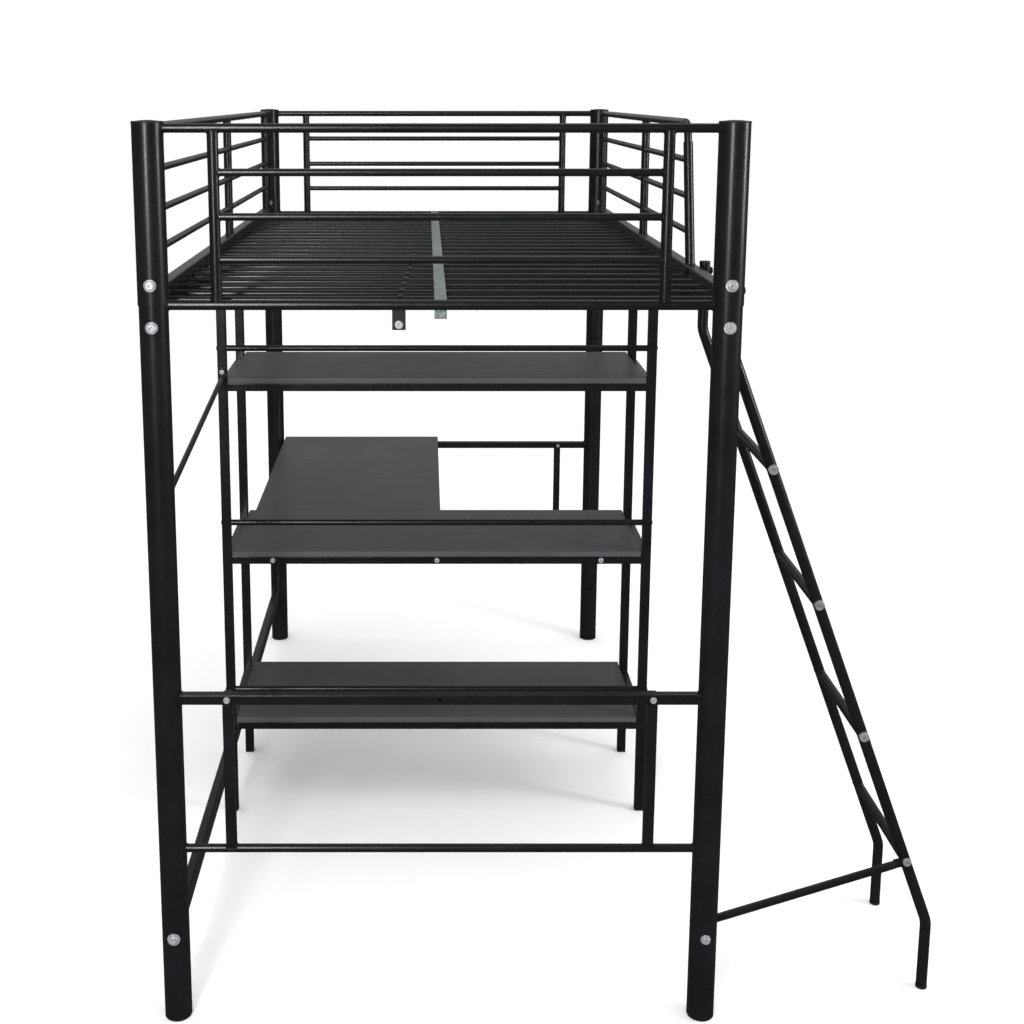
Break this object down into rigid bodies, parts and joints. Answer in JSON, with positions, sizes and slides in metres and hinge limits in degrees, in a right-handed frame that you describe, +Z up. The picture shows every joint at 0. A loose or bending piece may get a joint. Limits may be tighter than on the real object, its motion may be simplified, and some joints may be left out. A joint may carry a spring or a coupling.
{
  "type": "loft bed with desk",
  "caption": "Black steel-tube loft bed over a full-width shelf unit and a desk panel, with guard rails, slatted deck and a leaning side ladder.",
  "frame": {"origin": "bottom centre of the whole object's box, on the floor", "axes": "+Z up, +Y along the bed from the ladder end towards the desk end, +X across the bed towards the ladder"},
  "size_m": [1.5664, 2.0096, 1.778],
  "materials": {
    "black_steel": "satin black powder coat on steel tube",
    "charcoal_board": "charcoal melamine on particle board",
    "black_plastic": "moulded black plastic, fine texture",
    "zinc_steel": "bright zinc plate",
    "galvanised_steel": "dull galvanised strip",
    "rivet_steel": "black rivet heads with worn tops",
    "black_fastener": "black oxide"
  },
  "bodies": {
    "root": {"bottom_shelf_panel": "charcoal_board", "desk_bar_studs": "zinc_steel", "desk_panel": "charcoal_board", "desk_support_bars": "black_steel", "far_end_deck_rail": "black_steel", "far_end_guard_bars": "black_steel", "far_end_guard_uprights": "black_steel", "far_end_lower_rail": "black_steel", "far_end_lower_uprights": "black_steel", "far_end_stretcher": "black_steel", "far_end_top_rail": "black_steel", "frame_bolts": "zinc_steel", "ladder_bolts": "zinc_steel", "ladder_brace": "black_steel", "ladder_end_caps": "black_plastic", "ladder_guard_bars": "black_steel", "ladder_guard_bent_rail": "black_steel", "ladder_guard_uprights": "black_steel", "ladder_rail_far": "black_steel", "ladder_rail_near": "black_steel", "ladder_rungs": "black_steel", "ladder_side_rail": "black_steel", "ladder_washers": "zinc_steel", "large_hex_nuts": "zinc_steel", "middle_shelf_joists": "black_steel", "middle_shelf_panel": "charcoal_board", "near_end_deck_rail": "black_steel", "near_end_guard_bars": "black_steel", "near_end_guard_uprights": "black_steel", "near_end_lower_rail": "black_steel", "near_end_lower_uprights": "black_steel", "near_end_stretcher": "black_steel", "near_end_top_rail": "black_steel", "post_bolts": "zinc_steel", "post_foot_caps": "black_plastic", "post_lower_tubes": "black_steel", "post_saddle_washers": "zinc_steel", "post_top_caps": "black_plastic", "post_upper_tubes": "black_steel", "shelf_cross_rails": "black_steel", "shelf_foot_plugs": "black_plastic", "shelf_rail_screws": "black_fastener", "shelf_retaining_rails": "black_steel", "shelf_side_rails": "black_steel", "shelf_uprights": "black_steel", "side_rail_brackets": "black_steel", "slat_bar_rivets": "rivet_steel", "slat_support_bar": "black_steel", "slat_tie_strip": "galvanised_steel", "slats": "black_steel", "small_hex_nuts": "zinc_steel", "threaded_inserts": "zinc_steel", "top_shelf_panel": "charcoal_board", "wall_guard_bars": "black_steel", "wall_guard_top_rail": "black_steel", "wall_guard_uprights": "black_steel", "wall_lower_rail_brackets": "black_steel", "wall_lower_rails": "black_steel", "wall_side_brace": "black_steel", "wall_side_rail": "black_steel"}
  },
  "joints": []
}
